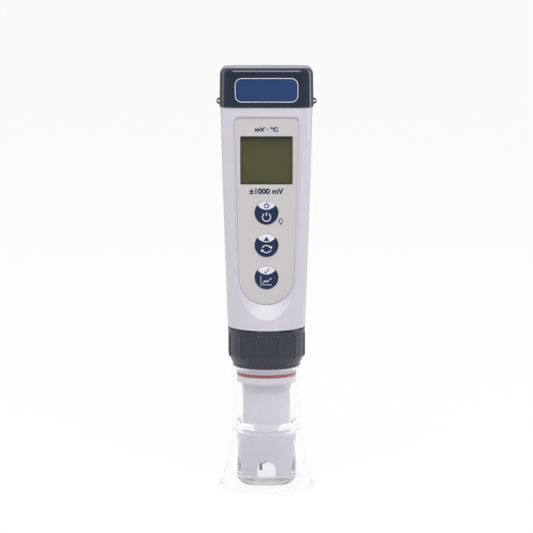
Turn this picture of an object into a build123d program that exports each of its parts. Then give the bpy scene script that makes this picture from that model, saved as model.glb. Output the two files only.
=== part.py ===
from build123d import *
import os
from math import atan2, cos, degrees, pi, radians, sin, sqrt, tan

# Pocket water tester: a pen-shaped redox and temperature meter that stands on the
# flared foot of its clear storage cap. Millimetres, +Z up, the keypad faces -Y, and
# the origin is on the table in the middle of the foot.

# Driving dimensions

# Heights above the table
RIM_Z = 51.6  # rim of the storage cap
RING_FOOT_Z = 52.3
RING_TOP_Z = 68.6
BODY_FOOT_Z = 69.0
BODY_TOP_Z = 161.8
TOP_Z = 178.0

# Housing: a tapered tube, round at the foot and nearly square at the mouth
BODY_FOOT = 32.8
BODY_MOUTH_WIDTH = 38.0
BODY_MOUTH_DEPTH = 34.0
SQUARE_Z = 92.0  # height by which the round foot has become square
WALL = 2.0
FRONT_WALL = 1.8

# Keypad panel: a flat floor let into the front, leaning 2.3 degrees forward
PANEL_LEAN = 2.3
KEY_Z = 118.4  # upper key
KEY_PITCH = 13.6
KEY_RADIUS = 4.8
KEY_TRAVEL = 0.5
PANEL_Y = -14.6  # panel floor behind the upper key
PANEL_RADIUS = 11.4  # round lower end, centred on the third key
PANEL_TAPER = 1.47
PANEL_TOP = 39.1  # above the upper key
OVERLAY = 0.45
DISPLAY_WIDTH = 21.6
DISPLAY_HEIGHT = 20.0
DISPLAY_V = 21.8  # above the upper key

# Probe and its fittings
PROBE_RADIUS = 10.0
PROBE_TIP_Z = 5.2
FLANGE_RADIUS = 12.6
SPIGOT_RADIUS = 13.6
SPIGOT_BORE = 10.6
SPIGOT_FOOT_Z = 58.5
RING_RADIUS = 16.3
RIBS = 12
RIB_PHASE = 18.0

# Storage cap
NECK_RADIUS = 14.25
CAP_WALL = 1.4
FOOT_RADIUS = 20.5
SKIRT_ANGLE = 11.0
SKIRT_BEND = 50.0
SKIRT_TOP_Z = 30.0
VESSEL_RADIUS = 12.5
VESSEL_WALL = 1.3

# Battery cells, size AAA
CELL_RADIUS = 5.15
CELL_LENGTH = 43.3
CELL_FOOT_Z = 110.8
CELL_X = 6.25
CELL_ROWS = (-1.7, 9.1)

FIT = 0.15  # radial clearance between pieces that slide or turn
EPS = 0.01
UPRIGHT = (Align.CENTER, Align.CENTER, Align.MIN)

os.makedirs("parts", exist_ok=True)
finished = []


def keep(builder, name):
    """Labels a finished piece and writes it."""
    builder.part.label = name
    export_step(builder.part, f"parts/{name}.step")
    finished.append(name)


panel = Plane(
    origin=(0, PANEL_Y, KEY_Z),
    x_dir=(1, 0, 0),
    z_dir=(0, -cos(radians(PANEL_LEAN)), -sin(radians(PANEL_LEAN))),
)
KEY_ROWS = (0.0, -KEY_PITCH, -2 * KEY_PITCH)


def shield(radius, top, taper, corner):
    """The keypad's outline: round at the foot, straight sides that spread upwards."""
    centre = KEY_ROWS[-1]
    lean = radians(taper)
    side_x = radius * cos(lean)
    side_v = centre - radius * sin(lean)
    top_x = side_x + (top - side_v) * tan(lean)
    with BuildSketch() as outline:
        with BuildLine():
            Polyline((side_x, side_v), (top_x, top), (-top_x, top), (-side_x, side_v))
            ThreePointArc((-side_x, side_v), (0, centre - radius), (side_x, side_v))
        make_face()
        fillet(outline.vertices().group_by(Axis.Y)[-1], corner)
    return outline.sketch


# Storage cap: one clear moulding, an inner vessel for the soaking solution inside a
# flared skirt that stands on the table.
skirt = radians(SKIRT_ANGLE)
bend_x = NECK_RADIUS + SKIRT_BEND * (1 - cos(skirt))
bend_z = SKIRT_TOP_Z - SKIRT_BEND * sin(skirt)
RIM_HEIGHT = 1.3
RIM_SWEEP = 1.2
sweep_z = RIM_HEIGHT + RIM_SWEEP * (1 - sin(skirt))
sweep_x = bend_x + (bend_z - sweep_z) * tan(skirt)
sweep_end = sweep_x + RIM_SWEEP * cos(skirt)
slant_wall = CAP_WALL / cos(skirt)
GROOVE_Z = 24.0
groove_x = NECK_RADIUS + SKIRT_BEND - sqrt((SKIRT_BEND + CAP_WALL) ** 2 - (SKIRT_TOP_Z - GROOVE_Z) ** 2)
groove_middle = (groove_x + VESSEL_RADIUS) / 2
groove_half = (groove_x - VESSEL_RADIUS) / 2
inner_bend = SKIRT_BEND + CAP_WALL
inner_bend_x = NECK_RADIUS + SKIRT_BEND - inner_bend * cos(skirt)
inner_bend_z = SKIRT_TOP_Z - inner_bend * sin(skirt)
VESSEL_FOOT_Z = 0.8
VESSEL_FLOOR_Z = 2.6
OUTER_ROUND = 3.5
INNER_ROUND = 3.2
LEAD_IN_Z = 25.5
LEAD_IN = 3.0
vessel_bore = VESSEL_RADIUS - VESSEL_WALL
neck_bore = NECK_RADIUS - CAP_WALL
foot_inner = bend_x + bend_z * tan(skirt) - slant_wall

with BuildPart() as storage_cap:
    with BuildSketch(Plane.XZ):
        with BuildLine():
            Polyline((neck_bore, RIM_Z), (NECK_RADIUS, RIM_Z), (NECK_RADIUS, SKIRT_TOP_Z))
            RadiusArc((NECK_RADIUS, SKIRT_TOP_Z), (bend_x, bend_z), -SKIRT_BEND)
            Line((bend_x, bend_z), (sweep_x, sweep_z))
            RadiusArc((sweep_x, sweep_z), (sweep_end, RIM_HEIGHT), -RIM_SWEEP)
            Polyline(
                (sweep_end, RIM_HEIGHT),
                (FOOT_RADIUS - 0.3, RIM_HEIGHT),
                (FOOT_RADIUS, RIM_HEIGHT - 0.3),
                (FOOT_RADIUS, 0),
                (foot_inner, 0),
                (inner_bend_x, inner_bend_z),
            )
            RadiusArc((inner_bend_x, inner_bend_z), (groove_x, GROOVE_Z), inner_bend)
            ThreePointArc(
                (groove_x, GROOVE_Z),
                (groove_middle, GROOVE_Z + groove_half),
                (VESSEL_RADIUS, GROOVE_Z),
            )
            Line((VESSEL_RADIUS, GROOVE_Z), (VESSEL_RADIUS, VESSEL_FOOT_Z + OUTER_ROUND))
            RadiusArc(
                (VESSEL_RADIUS, VESSEL_FOOT_Z + OUTER_ROUND),
                (VESSEL_RADIUS - OUTER_ROUND, VESSEL_FOOT_Z),
                OUTER_ROUND,
            )
            Polyline(
                (VESSEL_RADIUS - OUTER_ROUND, VESSEL_FOOT_Z),
                (0, VESSEL_FOOT_Z),
                (0, VESSEL_FLOOR_Z),
                (vessel_bore - INNER_ROUND, VESSEL_FLOOR_Z),
            )
            RadiusArc(
                (vessel_bore - INNER_ROUND, VESSEL_FLOOR_Z),
                (vessel_bore, VESSEL_FLOOR_Z + INNER_ROUND),
                -INNER_ROUND,
            )
            Polyline(
                (vessel_bore, VESSEL_FLOOR_Z + INNER_ROUND),
                (vessel_bore, LEAD_IN_Z),
                (neck_bore, LEAD_IN_Z + LEAD_IN),
                (neck_bore, RIM_Z),
            )
        make_face()
    revolve(axis=Axis.Z)
    fillet(storage_cap.edges().group_by(Axis.Z)[-1], 0.4)
keep(storage_cap, "storage_cap")

# Probe body: the white moulding that dips in the water. Its flange seals in the storage
# cap and its lower end is a guard, open in four arches, round the sensors.
SHOULDER_RADIUS = 13.5
SHOULDER_Z = 56.4
SHOULDER_TOP_Z = 58.2
FLANGE_FOOT_Z = 45.6
STEP_Z = 42.6
STEP_RADIUS = 10.4
SEAL_Z = 48.3
SEAL_HEIGHT = 1.4
SEAL_DEPTH = 1.0
GUARD_TOP_Z = 13.5
GUARD_BORE = 8.6
ARCH_WIDTH = 7.0
ARCH_TOP_Z = 12.2
CHAMBER_RADIUS = 8.2
CHAMBER_FLOOR_Z = 16.0
HEADER_SEAT_Z = 53.0
HEADER_SEAT_RADIUS = 9.6

# The sensors hang through the guard's ceiling: x, y and radius
GLASS = (-1.9, -2.6, 2.2)
THERMOMETER = (-5.3, 1.6, 1.1)
JUNCTION = (3.9, 1.6, 1.7)


with BuildPart() as probe_body:
    with BuildSketch(Plane.XZ):
        with BuildLine():
            Polyline(
                (GUARD_BORE, PROBE_TIP_Z),
                (PROBE_RADIUS - 0.5, PROBE_TIP_Z),
                (PROBE_RADIUS, PROBE_TIP_Z + 0.5),
                (PROBE_RADIUS, STEP_Z),
                (STEP_RADIUS, STEP_Z),
                (STEP_RADIUS, FLANGE_FOOT_Z),
                (FLANGE_RADIUS, FLANGE_FOOT_Z),
                (FLANGE_RADIUS, SEAL_Z),
                (FLANGE_RADIUS - SEAL_DEPTH, SEAL_Z),
                (FLANGE_RADIUS - SEAL_DEPTH, SEAL_Z + SEAL_HEIGHT),
                (FLANGE_RADIUS, SEAL_Z + SEAL_HEIGHT),
                (FLANGE_RADIUS, SHOULDER_Z),
                (SHOULDER_RADIUS, SHOULDER_Z),
                (SHOULDER_RADIUS, SHOULDER_TOP_Z),
                (HEADER_SEAT_RADIUS, SHOULDER_TOP_Z),
                (HEADER_SEAT_RADIUS, HEADER_SEAT_Z),
                (CHAMBER_RADIUS, HEADER_SEAT_Z),
                (CHAMBER_RADIUS, CHAMBER_FLOOR_Z),
                (0, CHAMBER_FLOOR_Z),
                (0, GUARD_TOP_Z),
                (GUARD_BORE, GUARD_TOP_Z),
                close=True,
            )
        make_face()
    revolve(axis=Axis.Z)
    # Four arches let the water in
    arch_middle = ARCH_TOP_Z - ARCH_WIDTH / 2
    for turn in (0, 90):
        with BuildSketch(Plane.XZ.rotated((0, 0, turn))):
            with Locations((0, (arch_middle + PROBE_TIP_Z) / 2 - 0.5)):
                Rectangle(ARCH_WIDTH, arch_middle - PROBE_TIP_Z + 1.0)
            with Locations((0, arch_middle)):
                Circle(ARCH_WIDTH / 2)
        extrude(amount=PROBE_RADIUS + 1, both=True, mode=Mode.SUBTRACT)
    for x, y, radius in (GLASS, THERMOMETER, JUNCTION):
        with Locations((x, y, GUARD_TOP_Z)):
            Cylinder(radius + EPS, CHAMBER_FLOOR_Z - GUARD_TOP_Z, align=UPRIGHT, mode=Mode.SUBTRACT)
keep(probe_body, "probe_body")

# Sensors
STEM_FOOT_Z = 10.4
PIN_FOOT_Z = 7.4
PIN_ROOT_Z = 15.0
PLATINUM_RADIUS = 0.5
THERMOMETER_FOOT_Z = 7.0
THERMOMETER_TOP_Z = 24.0
JUNCTION_FOOT_Z = 12.9
JUNCTION_TOP_Z = 17.5
WIRE_RADIUS = 0.4

with BuildPart() as glass_stem:
    with Locations((GLASS[0], GLASS[1], STEM_FOOT_Z)):
        Cylinder(GLASS[2], HEADER_SEAT_Z - STEM_FOOT_Z, align=UPRIGHT)
        fillet(glass_stem.edges().group_by(Axis.Z)[0], 1.0)
        Cylinder(PLATINUM_RADIUS, PIN_ROOT_Z - STEM_FOOT_Z, align=UPRIGHT, mode=Mode.SUBTRACT)
keep(glass_stem, "glass_stem")

with BuildPart() as platinum_pin:
    with Locations((GLASS[0], GLASS[1], PIN_FOOT_Z)):
        Cylinder(PLATINUM_RADIUS, PIN_ROOT_Z - PIN_FOOT_Z, align=UPRIGHT)
keep(platinum_pin, "platinum_pin")

with BuildPart() as temperature_sensor:
    with Locations((THERMOMETER[0], THERMOMETER[1], THERMOMETER_FOOT_Z)):
        Cylinder(THERMOMETER[2], THERMOMETER_TOP_Z - THERMOMETER_FOOT_Z, align=UPRIGHT)
    fillet(temperature_sensor.edges().group_by(Axis.Z)[0], 0.8)
keep(temperature_sensor, "temperature_sensor")

with BuildPart() as reference_junction:
    with Locations((JUNCTION[0], JUNCTION[1], JUNCTION_FOOT_Z)):
        Cylinder(JUNCTION[2], JUNCTION_TOP_Z - JUNCTION_FOOT_Z, align=UPRIGHT)
keep(reference_junction, "reference_junction")

with BuildPart() as reference_wire:
    with Locations((JUNCTION[0], JUNCTION[1], JUNCTION_TOP_Z)):
        Cylinder(WIRE_RADIUS, HEADER_SEAT_Z - JUNCTION_TOP_Z, align=UPRIGHT)
keep(reference_wire, "reference_wire")

with BuildPart() as cap_seal_ring:
    with BuildSketch(Plane.XY.offset(SEAL_Z + 0.1)):
        Circle(neck_bore - 0.08)
        Circle(FLANGE_RADIUS - SEAL_DEPTH, mode=Mode.SUBTRACT)
    extrude(amount=SEAL_HEIGHT - 0.2)
    chamfer(cap_seal_ring.edges().filter_by(GeomType.CIRCLE).group_by(SortBy.RADIUS)[-1], 0.2)
keep(cap_seal_ring, "cap_seal_ring")

# Probe header: closes the probe, plugs into the housing's spigot and carries the pins
HEADER_RADIUS = SPIGOT_BORE - FIT
HEADER_TOP_Z = 66.4
HEADER_GROOVE_Z = 61.4
HEADER_GROOVE = 1.6
HEADER_GROOVE_RADIUS = 9.3
PINS = 6
PIN_CIRCLE = 3.4
PIN_RADIUS = 0.45
PIN_TOP_Z = 72.0

with BuildPart() as probe_header:
    with BuildSketch(Plane.XZ):
        with BuildLine():
            Polyline(
                (0, HEADER_SEAT_Z),
                (HEADER_SEAT_RADIUS, HEADER_SEAT_Z),
                (HEADER_SEAT_RADIUS, SHOULDER_TOP_Z),
                (HEADER_RADIUS, SHOULDER_TOP_Z),
                (HEADER_RADIUS, HEADER_GROOVE_Z),
                (HEADER_GROOVE_RADIUS, HEADER_GROOVE_Z),
                (HEADER_GROOVE_RADIUS, HEADER_GROOVE_Z + HEADER_GROOVE),
                (HEADER_RADIUS, HEADER_GROOVE_Z + HEADER_GROOVE),
                (HEADER_RADIUS, HEADER_TOP_Z - 0.6),
                (HEADER_RADIUS - 0.6, HEADER_TOP_Z),
                (0, HEADER_TOP_Z),
                close=True,
            )
        make_face()
    revolve(axis=Axis.Z)
    with BuildSketch(Plane.XY.offset(HEADER_TOP_Z)):
        with PolarLocations(PIN_CIRCLE, PINS):
            Circle(PIN_RADIUS)
    extrude(amount=-3.0, mode=Mode.SUBTRACT)
keep(probe_header, "probe_header")

with BuildPart() as header_seal_ring:
    with BuildSketch(Plane.XY.offset(HEADER_GROOVE_Z + 0.1)):
        Circle(SPIGOT_BORE - 0.06)
        Circle(HEADER_GROOVE_RADIUS, mode=Mode.SUBTRACT)
    extrude(amount=HEADER_GROOVE - 0.2)
keep(header_seal_ring, "header_seal_ring")

with BuildPart() as contact_pins:
    with BuildSketch(Plane.XY.offset(HEADER_TOP_Z - 3.0)):
        with PolarLocations(PIN_CIRCLE, PINS):
            Circle(PIN_RADIUS)
    extrude(amount=PIN_TOP_Z - HEADER_TOP_Z + 3.0)
keep(contact_pins, "contact_pins")

# Locking ring: a ribbed nut that draws the probe's shoulder up against the spigot
RING_BORE = SPIGOT_RADIUS + FIT
LIP_BORE = FLANGE_RADIUS + 0.25
LIP_TOP_Z = 56.3
RIB_RADIUS = 1.3
RIB_PROUD = 0.35
RIB_FOOT_Z = 57.3
RIB_TOP_Z = 65.7

with BuildPart() as locking_ring:
    with BuildSketch(Plane.XZ) as ring_section:
        with BuildLine():
            Polyline(
                (LIP_BORE, RING_FOOT_Z),
                (14.3, RING_FOOT_Z),
                (14.4, 53.4),
                (16.2, 57.0),
                (RING_RADIUS, RING_TOP_Z),
                (RING_BORE, RING_TOP_Z),
                (RING_BORE, LIP_TOP_Z),
                (LIP_BORE, LIP_TOP_Z),
                close=True,
            )
        make_face()
        fillet(ring_section.vertices().sort_by_distance((14.4, 53.4))[0], 0.8)
        fillet(ring_section.vertices().sort_by_distance((16.2, 57.0))[0], 2.5)
    revolve(axis=Axis.Z)
    fillet(locking_ring.edges().group_by(Axis.Z)[-1].sort_by(SortBy.RADIUS)[-1], 0.5)
    with Locations((0, 0, RIB_FOOT_Z)):
        with PolarLocations(RING_RADIUS + RIB_PROUD - RIB_RADIUS, RIBS, start_angle=RIB_PHASE):
            Cylinder(RIB_RADIUS, RIB_TOP_Z - RIB_FOOT_Z, align=UPRIGHT)
            Sphere(RIB_RADIUS)
            with Locations((0, 0, RIB_TOP_Z - RIB_FOOT_Z)):
                Sphere(RIB_RADIUS)
    with BuildSketch(Plane.XY.offset(LIP_TOP_Z)):
        Circle(RING_BORE)
    extrude(amount=RING_TOP_Z - LIP_TOP_Z, mode=Mode.SUBTRACT)
keep(locking_ring, "locking_ring")

# Housing: the white one-piece body
span = BODY_TOP_Z - BODY_FOOT_Z
square_share = (SQUARE_Z - BODY_FOOT_Z) / span
square_width = BODY_FOOT + (BODY_MOUTH_WIDTH - BODY_FOOT) * square_share
square_depth = BODY_FOOT + (BODY_MOUTH_DEPTH - BODY_FOOT) * square_share
CAVITY_FOOT_Z = 73.0
SPIGOT_CEILING_Z = 67.0
MOUTH_Z = 154.3
MOUTH_CORNER = 5.0
SOCKET_RADIUS = 6.1
RECESS_FLARE = 31.0  # degrees the recess wall rises from the panel
RECESS_OUT = 4.2
recess_spread = RECESS_OUT / tan(radians(RECESS_FLARE))
RIB_TOP = 106.4  # the battery cradle stands here
RIB_HEIGHT = 14.0
RIB_THICK = 1.6
RIB_SPREAD = 6.5
RIB_FRONT_Y = 9.0

with BuildPart() as cavity:
    for height, width, depth, corner in (
        (CAVITY_FOOT_Z, 29.0, 28.9, 13.6),
        (SQUARE_Z, square_width - 2 * WALL, square_depth - 2 * WALL, 9.6),
        (BODY_TOP_Z, BODY_MOUTH_WIDTH - 2 * WALL, BODY_MOUTH_DEPTH - 2 * WALL, MOUTH_CORNER),
    ):
        with BuildSketch(Plane.XY.offset(height)):
            RectangleRounded(width, depth, corner)
    loft()
    split(bisect_by=panel.offset(-FRONT_WALL), keep=Keep.BOTTOM)

with BuildPart() as housing:
    for height, width, depth, corner in (
        (BODY_FOOT_Z, BODY_FOOT, BODY_FOOT, BODY_FOOT / 2 - 0.1),
        (SQUARE_Z, square_width, square_depth, 11.0),
        (BODY_TOP_Z, BODY_MOUTH_WIDTH, BODY_MOUTH_DEPTH, 7.0),
    ):
        with BuildSketch(Plane.XY.offset(height)):
            RectangleRounded(width, depth, corner)
    loft()
    with BuildSketch(Plane.XY.offset(SPIGOT_FOOT_Z)):
        Circle(SPIGOT_RADIUS)
    extrude(amount=BODY_FOOT_Z - SPIGOT_FOOT_Z + 1)
    # Recess of the keypad panel, with a sloping wall all round
    with BuildSketch(panel):
        add(shield(PANEL_RADIUS, PANEL_TOP, PANEL_TAPER, 2.0))
    with BuildSketch(panel.offset(RECESS_OUT)):
        add(shield(PANEL_RADIUS + recess_spread, PANEL_TOP + recess_spread - 1.5, 0.2, 7.0))
    loft(ruled=True, mode=Mode.SUBTRACT)
    add(cavity.part, mode=Mode.SUBTRACT)
    # Battery mouth
    with BuildSketch(Plane.XY.offset(MOUTH_Z)):
        RectangleRounded(BODY_MOUTH_WIDTH - 2 * WALL, BODY_MOUTH_DEPTH - 2 * WALL, MOUTH_CORNER)
    extrude(amount=BODY_TOP_Z - MOUTH_Z + 1, mode=Mode.SUBTRACT)
    # Spigot bore and the seat of the socket
    with BuildSketch(Plane.XY.offset(SPIGOT_FOOT_Z - 1)):
        Circle(SPIGOT_BORE)
    extrude(amount=SPIGOT_CEILING_Z - SPIGOT_FOOT_Z + 1, mode=Mode.SUBTRACT)
    with BuildSketch(Plane.XY.offset(SPIGOT_CEILING_Z - 1)):
        Circle(SOCKET_RADIUS)
    extrude(amount=CAVITY_FOOT_Z - SPIGOT_CEILING_Z + 2, mode=Mode.SUBTRACT)
    # Ribs on the back wall that carry the battery cradle
    for side in (-1, 1):
        with BuildSketch(Plane.XY.offset(RIB_TOP - RIB_HEIGHT)):
            with Locations((side * RIB_SPREAD, RIB_FRONT_Y)):
                Rectangle(RIB_THICK, square_depth / 2 - WALL / 2 - RIB_FRONT_Y, align=(Align.CENTER, Align.MIN))
        extrude(amount=RIB_HEIGHT)
    # Display window and key holes through the front wall
    with BuildSketch(panel):
        with Locations((0, DISPLAY_V)):
            RectangleRounded(DISPLAY_WIDTH + 0.6, DISPLAY_HEIGHT + 0.6, 0.8)
        with Locations([(0, row) for row in KEY_ROWS]):
            Circle(KEY_RADIUS + FIT)
    extrude(amount=-FRONT_WALL - 0.5, mode=Mode.SUBTRACT)
keep(housing, "housing")

# Front overlay: printed film on the panel floor, with a clear display window let in
with BuildPart() as front_overlay:
    with BuildSketch(panel):
        add(shield(PANEL_RADIUS - 0.1, PANEL_TOP - 0.1, PANEL_TAPER, 1.9))
        with Locations((0, DISPLAY_V)):
            RectangleRounded(DISPLAY_WIDTH, DISPLAY_HEIGHT, 0.4, mode=Mode.SUBTRACT)
        with Locations([(0, row) for row in KEY_ROWS]):
            Circle(KEY_RADIUS + FIT, mode=Mode.SUBTRACT)
    extrude(amount=OVERLAY)
keep(front_overlay, "front_overlay")

with BuildPart() as display_window:
    with BuildSketch(panel.offset(0.05)):
        with Locations((0, DISPLAY_V)):
            RectangleRounded(DISPLAY_WIDTH, DISPLAY_HEIGHT, 0.4)
    extrude(amount=OVERLAY - 0.1)
keep(display_window, "display_window")

# Keys: round silicone caps that stand a little proud of the film, each with a flange
# behind the wall and a plunger over its switch
KEY_PROUD = 0.35
FLANGE_FACE = FRONT_WALL + 0.05
KEY_FLANGE_RADIUS = 5.8
KEY_FLANGE = 0.6
PLUNGER_RADIUS = 1.6
PLUNGER = 0.65

for row, key_name in zip(KEY_ROWS, ("power_key", "mode_key", "calibration_key")):
    with BuildPart() as key:
        with BuildSketch(panel.offset(-FLANGE_FACE)):
            with Locations((0, row)):
                Circle(KEY_RADIUS)
        extrude(amount=FLANGE_FACE + OVERLAY + KEY_PROUD)
        fillet(key.edges().sort_by(Axis.Y)[0], 0.3)
        with BuildSketch(panel.offset(-FLANGE_FACE)):
            with Locations((0, row)):
                Circle(KEY_FLANGE_RADIUS)
        extrude(amount=-KEY_FLANGE)
        with BuildSketch(panel.offset(-FLANGE_FACE - KEY_FLANGE)):
            with Locations((0, row)):
                Circle(PLUNGER_RADIUS)
        extrude(amount=-PLUNGER)
    keep(key, key_name)

with BuildPart() as keypad_gasket:
    with BuildSketch(panel.offset(-FLANGE_FACE)):
        with Locations((0, KEY_ROWS[1])):
            RectangleRounded(20.0, 2 * KEY_PITCH + 16.0, 6.0)
        with Locations([(0, row) for row in KEY_ROWS]):
            Circle(KEY_FLANGE_RADIUS + 0.2, mode=Mode.SUBTRACT)
    extrude(amount=-0.5)
keep(keypad_gasket, "keypad_gasket")

# Display: two glass plates in a frame, a light plate and two contact strips behind it
GLASS_WIDTH = 25.6
GLASS_HEIGHT = 24.4
GLASS_PLATE = 1.1
BOARD_FACE = 5.35  # front of the circuit board, behind the panel floor
BOARD = 1.0
glass_back = FLANGE_FACE + 2 * GLASS_PLATE

with BuildPart() as display_glass:
    with BuildSketch(panel.offset(-FLANGE_FACE)):
        with Locations((0, DISPLAY_V + 1.2)):
            Rectangle(GLASS_WIDTH, GLASS_HEIGHT - 2.4)
    extrude(amount=-GLASS_PLATE)
    with BuildSketch(panel.offset(-FLANGE_FACE - GLASS_PLATE)):
        with Locations((0, DISPLAY_V)):
            Rectangle(GLASS_WIDTH, GLASS_HEIGHT)
    extrude(amount=-GLASS_PLATE)
keep(display_glass, "display_glass")

with BuildPart() as display_frame:
    with BuildSketch(panel.offset(-FLANGE_FACE)):
        with Locations((0, DISPLAY_V)):
            Rectangle(GLASS_WIDTH + 2.6, GLASS_HEIGHT + 2.6)
            Rectangle(GLASS_WIDTH + 0.1, GLASS_HEIGHT + 0.1, mode=Mode.SUBTRACT)
    extrude(amount=-(BOARD_FACE - FLANGE_FACE))
keep(display_frame, "display_frame")

with BuildPart() as backlight_plate:
    with BuildSketch(panel.offset(-glass_back - 0.02)):
        with Locations((0, DISPLAY_V)):
            Rectangle(GLASS_WIDTH - 1.0, GLASS_HEIGHT - 6.0)
    extrude(amount=-(BOARD_FACE - glass_back - 0.04))
keep(backlight_plate, "backlight_plate")

with BuildPart() as contact_strips:
    with BuildSketch(panel.offset(-glass_back)):
        for side in (-1, 1):
            with Locations((0, DISPLAY_V + side * (GLASS_HEIGHT / 2 - 1.2))):
                Rectangle(GLASS_WIDTH - 3.0, 1.6)
    extrude(amount=-(BOARD_FACE - glass_back))
keep(contact_strips, "contact_strips")

# Circuit board with its switches in front and its chips behind
BOARD_WIDTH = 28.6
BOARD_TOP = PANEL_TOP - 3.4
BOARD_FOOT = -39.0

with BuildPart() as circuit_board:
    with BuildSketch(panel.offset(-BOARD_FACE)):
        with Locations((0, (BOARD_TOP + BOARD_FOOT) / 2 + 14.0)):
            RectangleRounded(BOARD_WIDTH, BOARD_TOP - BOARD_FOOT - 28.0, 1.0)
        with Locations((0, (BOARD_TOP + BOARD_FOOT) / 2 - 4.0)):
            RectangleRounded(20.0, BOARD_TOP - BOARD_FOOT - 8.0, 1.0)
    extrude(amount=-BOARD)
keep(circuit_board, "circuit_board")

SWITCH = 1.2
with BuildPart() as key_switches:
    for row in KEY_ROWS:
        with BuildSketch(panel.offset(-BOARD_FACE)):
            with Locations((0, row)):
                Rectangle(5.0, 5.0)
        extrude(amount=SWITCH)
        with BuildSketch(panel.offset(-BOARD_FACE + SWITCH)):
            with Locations((0, row)):
                Circle(1.2)
        extrude(amount=0.5)
keep(key_switches, "key_switches")

board_back = BOARD_FACE + BOARD
with BuildPart() as circuit_chips:
    with BuildSketch(panel.offset(-board_back)):
        with Locations((0, -22.0)):
            Rectangle(8.0, 8.0)
        with Locations((-5.5, -32.0)):
            Rectangle(5.0, 4.0)
        with Locations((5.0, -31.0), (5.0, -33.5)):
            Rectangle(3.2, 1.6)
    extrude(amount=-1.2)
keep(circuit_chips, "circuit_chips")

# Socket in the housing's floor that takes the probe's pins
with BuildPart() as probe_socket:
    with BuildSketch(Plane.XY.offset(SPIGOT_CEILING_Z + 0.1)):
        Circle(SOCKET_RADIUS)
    extrude(amount=CAVITY_FOOT_Z - SPIGOT_CEILING_Z)
    with BuildSketch(Plane.XY.offset(CAVITY_FOOT_Z)):
        Circle(SOCKET_RADIUS + 2.0)
    extrude(amount=1.6)
    with BuildSketch(Plane.XY.offset(SPIGOT_CEILING_Z)):
        with PolarLocations(PIN_CIRCLE, PINS):
            Circle(PIN_RADIUS + FIT)
    extrude(amount=PIN_TOP_Z - SPIGOT_CEILING_Z + 0.4, mode=Mode.SUBTRACT)
keep(probe_socket, "probe_socket")

# Leads from the socket up to the back of the board
LEAD_RADIUS = 0.4
socket_top = CAVITY_FOOT_Z + 1.6
lead_v = 81.5 - KEY_Z
board_y = PANEL_Y - lead_v * sin(radians(PANEL_LEAN)) + (board_back + EPS) / cos(radians(PANEL_LEAN))
with BuildPart() as sensor_leads:
    for lead in range(PINS):
        lead_x = (lead - (PINS - 1) / 2) * 1.4
        with BuildLine() as route:
            FilletPolyline((lead_x, -1.5, socket_top), (lead_x, -1.5, 81.5), (lead_x, board_y, 81.5), radius=2.0)
        with BuildSketch(Plane.XY.offset(socket_top)):
            with Locations((lead_x, -1.5)):
                Circle(LEAD_RADIUS)
        sweep(path=route.line)
keep(sensor_leads, "sensor_leads")

# Battery cradle: a base with three pillars that hold the four cells apart
CRADLE_FOOT_Z = RIB_TOP
CRADLE_BASE = 1.8
CRADLE_TOP_Z = 152.0
cradle_front = CELL_ROWS[0] - 4.5
cradle_back = CELL_ROWS[1] + 4.5
cradle_middle = (cradle_front + cradle_back) / 2
CRADLE_WIDTH = 27.2
BAY_RADIUS = CELL_RADIUS + 0.2
LEAF = 0.25
LEAF_WIDTH = 4.0

with BuildPart() as battery_cradle:
    with BuildSketch(Plane.XY.offset(CRADLE_FOOT_Z)) as cradle_plan:
        with Locations((0, cradle_middle)):
            Rectangle(CRADLE_WIDTH, cradle_back - cradle_front)
        fillet(cradle_plan.vertices().group_by(Axis.Y)[-1], 7.5)
    extrude(amount=CRADLE_TOP_Z - CRADLE_FOOT_Z)
    with BuildSketch(Plane.XY.offset(CRADLE_FOOT_Z + CRADLE_BASE)):
        with Locations([(side * CELL_X, row) for side in (-1, 1) for row in CELL_ROWS]):
            Circle(BAY_RADIUS)
        with Locations((-CELL_X, cradle_middle), (CELL_X, cradle_middle)):
            Rectangle(4.0, 4.0)
    extrude(amount=CRADLE_TOP_Z, mode=Mode.SUBTRACT)
    # Slot for the bridge between the two back cells
    with BuildSketch(Plane.XY.offset(CRADLE_FOOT_Z + CRADLE_BASE)):
        with Locations((0, CELL_ROWS[1])):
            Rectangle(2 * CELL_X, LEAF_WIDTH + 0.4)
    extrude(amount=3 * LEAF, mode=Mode.SUBTRACT)
keep(battery_cradle, "battery_cradle")

# Cells, alternately head up and head down
for side, side_name in ((-1, "left"), (1, "right")):
    for row, row_name in zip(CELL_ROWS, ("front", "back")):
        head_up = side * (row - cradle_middle) > 0
        body_foot = CELL_FOOT_Z if head_up else CELL_FOOT_Z + 1.0
        with BuildPart() as cell:
            with BuildSketch(Plane.XY.offset(body_foot)):
                with Locations((side * CELL_X, row)):
                    Circle(CELL_RADIUS)
            extrude(amount=CELL_LENGTH)
            fillet(cell.edges().filter_by(GeomType.CIRCLE), 0.4)
            with BuildSketch(Plane.XY.offset(body_foot + CELL_LENGTH if head_up else body_foot)):
                with Locations((side * CELL_X, row)):
                    Circle(1.9)
            extrude(amount=1.0 if head_up else -1.0)
        keep(cell, f"cell_{row_name}_{side_name}")

# Leaf contacts under the cells: a bridge at the back and two tabs at the front
leaf_foot = CRADLE_FOOT_Z + CRADLE_BASE + LEAF / 2
leaf_top = CELL_FOOT_Z - LEAF


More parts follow.
